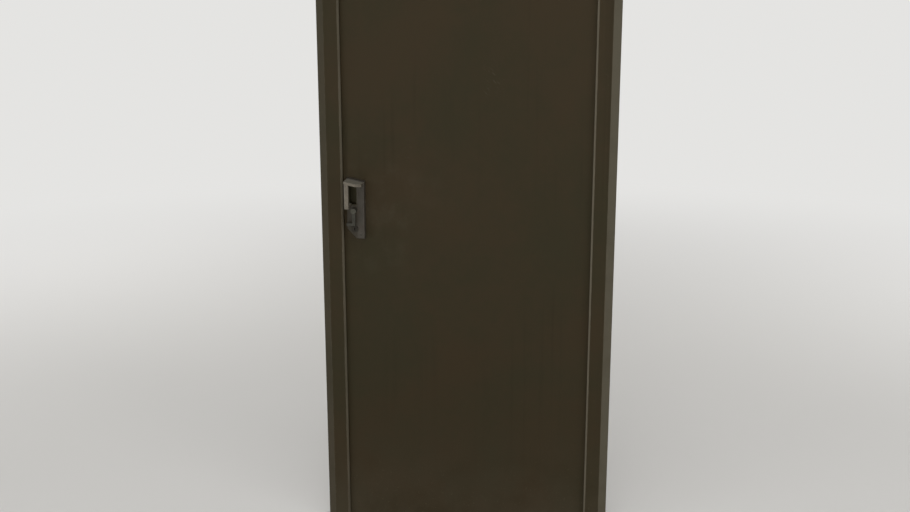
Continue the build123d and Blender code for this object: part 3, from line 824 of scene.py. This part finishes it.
class DOOR_OT_frame_finish(bpy.types.Operator):
    """Paints the posts and the head, and finishes the sill, the seals and the plugs"""

    bl_idname = "door.frame_finish"
    bl_label = "Finish the frame"

    def execute(self, context):
        finish = context.scene.door_finish
        tread = {"draw": SILL_GRAIN, "rust": 0.4, "bare": 0.6, "edge_radius": 0.0012}
        rubber = {"bloom": 0.25, "rough_low": 0.55, "rough_high": 0.8}
        plastic = {"bloom": 0.15, "rough_low": 0.35, "rough_high": 0.6}
        dress(("left_post", "right_post", "head_rail"), frame_paint(finish))
        dress(("sill",), steel_named("sill_steel", finish, finish.steel, **tread))
        seals = ("left_seal", "right_seal", "head_seal")
        dress(seals, soft_named("seal_strip_rubber", finish, finish.rubber, **rubber))
        dress(("left_caps", "right_caps"), soft_named("plug_plastic", finish, finish.plastic, **plastic))
        return {"FINISHED"}


class DOOR_OT_leaf_finish(bpy.types.Operator):
    """Paints the leaf's two skins and its edge channels"""

    bl_idname = "door.leaf_finish"
    bl_label = "Finish the leaf"

    def execute(self, context):
        sheets = ("front_skin", "back_skin", "lock_stile", "hinge_stile", "top_channel", "bottom_channel")
        dress(sheets, leaf_paint(context.scene.door_finish))
        return {"FINISHED"}


class DOOR_OT_hinge_finish(bpy.types.Operator):
    """Paints the hinge barrels and finishes their pins"""

    bl_idname = "door.hinge_finish"
    bl_label = "Finish the hinges"

    def execute(self, context):
        finish = context.scene.door_finish
        barrels = [f"{place}_hinge_{side}" for place in HINGES for side in ("frame", "leaf")]
        dress(barrels, hinge_paint(finish))
        dress([f"{place}_hinge_pin" for place in HINGES], zinc_steel(finish))
        return {"FINISHED"}


class DOOR_OT_lock_finish(bpy.types.Operator):
    """Finishes the lock cases, pockets, pulls, levers and the lock in the edge"""

    bl_idname = "door.lock_finish"
    bl_label = "Finish the lock"

    def execute(self, context):
        finish = context.scene.door_finish
        plastic = {"bloom": 0.10, "rough_low": 0.45, "rough_high": 0.7}
        # The pull's pale dust on upward faces also serves as a painted highlight.
        handled = {"draw": UPRIGHT_GRAIN, "rust": 0.45, "bare": 0.55, "edge_radius": 0.0009, "dusty": 0.9}
        turned = {"draw": UPRIGHT_GRAIN, "rust": 0.5, "bare": 0.45, "edge_radius": 0.0008}
        browned = {"draw": EVEN_GRAIN, "rust": 0.3, "bare": 0.5, "edge_radius": 0.0006}
        lever = steel_named("lever_steel", finish, finish.lever, boss=LEVER_BOSS_RADIUS, **turned)
        materials = {
            "case": finish_named("case_grey_paint", case_material, finish),
            # The pocket's dark plastic is painted shade behind the pull.
            "pocket": soft_named("pocket_plastic", finish, finish.pocket, **plastic),
            "pull": steel_named("handled_steel", finish, finish.steel, **handled),
            "lever": lever,
        }
        for piece, material in materials.items():
            dress([f"{face}_{piece}" for face in FACES], material)
        dress(("lever_spindle",), lever)
        dress(("strike_plate", "lock_forend", "latch_bolt", "dead_bolt"), zinc_steel(finish))
        dress(("lock_cylinder",), steel_named("browned_lock", finish, finish.lock, **browned))
        return {"FINISHED"}


class DOOR_OT_case_screws(bpy.types.Operator):
    """Sets three screws in the face of each lock case"""

    bl_idname = "door.case_screws"
    bl_label = "Case screws"

    def execute(self, context):
        sizes = context.scene.door_fastening
        steel = screw_steel(context.scene.door_finish)
        left, right = CASE_LOW[0] + CASE_SCREW_IN, CASE_HIGH[0] - CASE_SCREW_IN
        rows = (
            (right, LEVER_AXIS[2] + CASE_SCREW_ABOVE_LEVER, 0.4),
            (right, CASE_LOW[2] + CASE_SCREW_UP, 1.1),
            (left, LEVER_AXIS[2] - CASE_SCREW_BELOW_LEVER, 0.2),
        )
        for face, y, out in (("front", CASE_LOW[1], -1.0), ("back", BACK_CASE_FACE, 1.0)):
            spots = [((x, y, z), turn) for x, z, turn in rows]
            head = (sizes.screw_radius, sizes.screw_height, sizes.head_sides)
            heads = screw_heads(spots, (0.0, out, 0.0), ALONG_X, *head)
            make_piece(f"{face}_case_screws", heads, "leaf", steel)
        return {"FINISHED"}


class DOOR_OT_lock_screws(bpy.types.Operator):
    """Sets the screws of the strike plate and of the forend"""

    bl_idname = "door.lock_screws"
    bl_label = "Lock screws"

    def execute(self, context):
        sizes = context.scene.door_fastening
        zinc = zinc_steel(context.scene.door_finish)
        rows = (
            ("strike_screws", "frame", STRIKE_HIGH[0], STRIKE_LOW, STRIKE_HIGH, 1.0),
            ("forend_screws", "leaf", FOREND_LOW[0], FOREND_LOW, FOREND_HIGH, -1.0),
        )
        for name, body, x, low, high, out in rows:
            y = (low[1] + high[1]) / 2
            spots = (((x, y, low[2] + LOCK_SCREW_IN), 0.3), ((x, y, high[2] - LOCK_SCREW_IN), 0.9))
            head = (sizes.lock_screw_radius, LOCK_SCREW_RISE, sizes.head_sides)
            make_piece(name, screw_heads(spots, (out, 0.0, 0.0), ALONG_Y, *head), body, zinc)
        return {"FINISHED"}


class DOOR_OT_sill_screws(bpy.types.Operator):
    """Sets the two screws in the sill's countersinks"""

    bl_idname = "door.sill_screws"
    bl_label = "Sill screws"

    def execute(self, context):
        sizes = context.scene.door_fastening
        zinc = zinc_steel(context.scene.door_finish)
        z = SILL_TOP - SILL_SCREW_SUNK
        spots = (((-SILL_SCREW_X, LEAF_MIDDLE, z), 0.5), ((SILL_SCREW_X, LEAF_MIDDLE, z), 1.2))
        head = (sizes.sill_screw_radius, SILL_SCREW_RISE, sizes.head_sides)
        make_piece("sill_screws", screw_heads(spots, UPWARDS, ALONG_X, *head), "frame", zinc)
        return {"FINISHED"}


class DOOR_OT_hinge_welds(bpy.types.Operator):
    """Lays a weld round each hinge lug, on the frame and on the leaf"""

    bl_idname = "door.hinge_welds"
    bl_label = "Hinge welds"

    def execute(self, context):
        sizes = context.scene.door_fastening
        paint = hinge_paint(context.scene.door_finish)
        for place in HINGES:
            leaf_low, leaf_high = node_box(f"{place}_hinge_leaf")
            frame_low, frame_high = node_box(f"{place}_hinge_frame")
            middle = (leaf_low[2], leaf_high[2])
            lower = (frame_low[2], leaf_low[2] - BARREL_GAP)
            upper = (leaf_high[2] + BARREL_GAP, frame_high[2])
            lugs = (
                ("leaf", LEAF_AXIS[0] - LUG_START, leaf_low[0], (middle,)),
                ("frame", LEAF_AXIS[0] + LUG_START, frame_high[0], (lower, upper)),
            )
            for body, near, end, levels in lugs:
                beads = [self.lug_bead(near, end, low, high, sizes) for low, high in levels]
                make_piece(f"{place}_hinge_{body}_welds", beads, body, paint)
        return {"FINISHED"}

    @staticmethod
    def lug_bead(near, end, low, high, sizes):
        """The bead round three sides of a lug, in the plane of the frame's back."""
        corners = [(x, FRAME_BACK, z) for x, z in ((near, low), (end, low), (end, high), (near, high))]
        return weld_bead(corners, [ALONG_Y] * len(corners), sizes.weld_radius, sizes.weld_pitch)


class DOOR_OT_mitre_welds(bpy.types.Operator):
    """Lays the dressed weld across the front of both mitred corners"""

    bl_idname = "door.mitre_welds"
    bl_label = "Mitre welds"

    def execute(self, context):
        sizes = context.scene.door_fastening
        face = HEAD_HIGH[2] - HEAD_LOW[2]
        outline = ((face, INNER_BEVEL), (face - INNER_BEVEL, 0.0), (SPLAY_INNER, 0.0), SPLAY_END)
        beads = []
        for side in (-1.0, 1.0):
            corners = [(side * (HEAD_HIGH[0] - u), HEAD_LOW[1] + v, HEAD_HIGH[2] - u) for u, v in outline]
            outs = [(side * lean, -1.0, lean) for lean in (-MITRE_LEAN, 0.0, 0.0, MITRE_LEAN)]
            beads.append(weld_bead(corners, outs, sizes.mitre_radius, MITRE_RIPPLE, rise=0.35, ripple=0.10))
        make_piece("mitre_welds", beads, "frame", frame_paint(context.scene.door_finish))
        return {"FINISHED"}


class DOOR_OT_studio(bpy.types.Operator):
    """Builds the floor with its round backdrop, the light and the camera"""

    bl_idname = "door.studio"
    bl_label = "Studio"

    def execute(self, context):
        scene = context.scene
        studio = scene.door_studio
        self.add_floor(studio)
        self.add_sky(scene, studio)
        for name, setting, place, size, mirrored in LAMPS:
            self.add_lamp(scene, name, getattr(studio, setting), place, size, mirrored)
        self.add_camera(scene, studio)
        scene.view_settings.view_transform = "Standard"
        return {"FINISHED"}

    @staticmethod
    def add_floor(studio):
        """A round floor that turns up into a wall: radius and height run along one profile."""
        bend = np.linspace(0, math.pi / 2, 17)[1:]
        level = np.linspace(FLOOR_START, FLOOR_REACH, FLOOR_RINGS)
        reach = np.concatenate([level, FLOOR_REACH + FLOOR_BEND * np.sin(bend), [FLOOR_REACH + FLOOR_BEND]])
        rise = np.concatenate([np.zeros(FLOOR_RINGS), FLOOR_BEND * (1 - np.cos(bend)), [WALL_TOP]])
        angle = np.linspace(0, 2 * math.pi, FLOOR_SIDES, endpoint=False)
        x, y = np.outer(reach, np.cos(angle)), np.outer(reach, np.sin(angle))
        rings = np.stack([x, y, np.outer(rise, np.ones(FLOOR_SIDES))], axis=-1)
        points = np.concatenate([rings.reshape(-1, 3), np.zeros((1, 3))])
        quads = ring_quads(len(reach), FLOOR_SIDES)[:, ::-1]
        fan = pole_fan(len(points) - 1, 0, FLOOR_SIDES, True)
        pale = floor_material("studio_floor_pale", tuple(studio.floor))
        floor = smooth_object("studio_floor", points, quads.tolist() + fan.tolist(), pale)

    @staticmethod
    def add_sky(scene, studio):
        """Even light from all round, pale where the camera or a reflection sees it."""
        world = bpy.data.worlds.new("studio_sky")
        scene.world = world
        world.use_nodes = True
        tree = world.node_tree
        tree.nodes.clear()
        path = put(tree, "ShaderNodeLightPath").outputs
        seen = sums(tree, "MAXIMUM", path["Is Camera Ray"], path["Is Glossy Ray"])
        level = spread(tree, seen, 0.0, 1.0, to_low=studio.sky, to_high=SKY_SEEN)
        glow = put(tree, "ShaderNodeBackground", {"Color": SKY_TONE, "Strength": level})
        put(tree, "ShaderNodeOutputWorld", {"Surface": glow.outputs[0]})

    @staticmethod
    def add_lamp(scene, name, power, place, size, mirrored):
        """A soft panel lamp turned to the middle of the door, seen at most in reflections."""
        lamp = bpy.data.lights.new(name, "AREA")
        lamp.shape = "RECTANGLE"
        lamp.size, lamp.size_y = size
        lamp.energy = power
        holder = bpy.data.objects.new(name, lamp)
        holder.location = place
        holder.rotation_euler = (Vector(DOOR_MIDDLE) - Vector(place)).to_track_quat("-Z", "Y").to_euler()
        holder.visible_camera = False
        holder.visible_glossy = mirrored
        scene.collection.objects.link(holder)

    @staticmethod
    def add_camera(scene, studio):
        """The camera, level from side to side, turned left by the yaw and down by the pitch."""
        camera = bpy.data.cameras.new("viewer")
        camera.lens, camera.sensor_width = studio.lens, SENSOR_WIDTH
        camera.clip_start, camera.clip_end = CLIP_RANGE
        holder = bpy.data.objects.new("viewer", camera)
        holder.location = studio.eye
        holder.rotation_euler = (math.pi / 2 - studio.pitch, 0.0, studio.yaw)
        scene.collection.objects.link(holder)
        scene.camera = holder


class DOOR_PT_looks(bpy.types.Panel):
    """Lists the door's sizes, colours and steps"""

    bl_idname = "DOOR_PT_looks"
    bl_label = "Industrial door"
    bl_space_type = "VIEW_3D"
    bl_region_type = "UI"
    bl_category = "Door"

    def draw(self, context):
        for group in GROUPS:
            values = getattr(context.scene, group)
            box = self.layout.box()
            for key in values.__annotations__:
                box.prop(values, key)
        for operator in OPERATORS:
            self.layout.operator(operator.bl_idname)


GROUPS = {"door_finish": DoorFinish, "door_fastening": DoorFastening, "door_studio": DoorStudio}
OPERATORS = (
    DOOR_OT_frame_finish,
    DOOR_OT_leaf_finish,
    DOOR_OT_hinge_finish,
    DOOR_OT_lock_finish,
    DOOR_OT_case_screws,
    DOOR_OT_lock_screws,
    DOOR_OT_sill_screws,
    DOOR_OT_hinge_welds,
    DOOR_OT_mitre_welds,
    DOOR_OT_studio,
)


def register():
    """Adds the door's settings, steps and panel to Blender."""
    for kind in (*GROUPS.values(), *OPERATORS, DOOR_PT_looks):
        bpy.utils.register_class(kind)
    for name, kind in GROUPS.items():
        setattr(bpy.types.Scene, name, PointerProperty(type=kind))


def unregister():
    """Takes them out again."""
    for name in GROUPS:
        delattr(bpy.types.Scene, name)
    for kind in reversed((*GROUPS.values(), *OPERATORS, DOOR_PT_looks)):
        bpy.utils.unregister_class(kind)


def main():
    """Dresses the door step by step."""
    register()
    bpy.ops.door.frame_finish()
    bpy.ops.door.leaf_finish()
    bpy.ops.door.hinge_finish()
    bpy.ops.door.lock_finish()
    bpy.ops.door.case_screws()
    bpy.ops.door.lock_screws()
    bpy.ops.door.sill_screws()
    bpy.ops.door.hinge_welds()
    bpy.ops.door.mitre_welds()
    bpy.ops.door.studio()


if __name__ == "__main__":
    main()
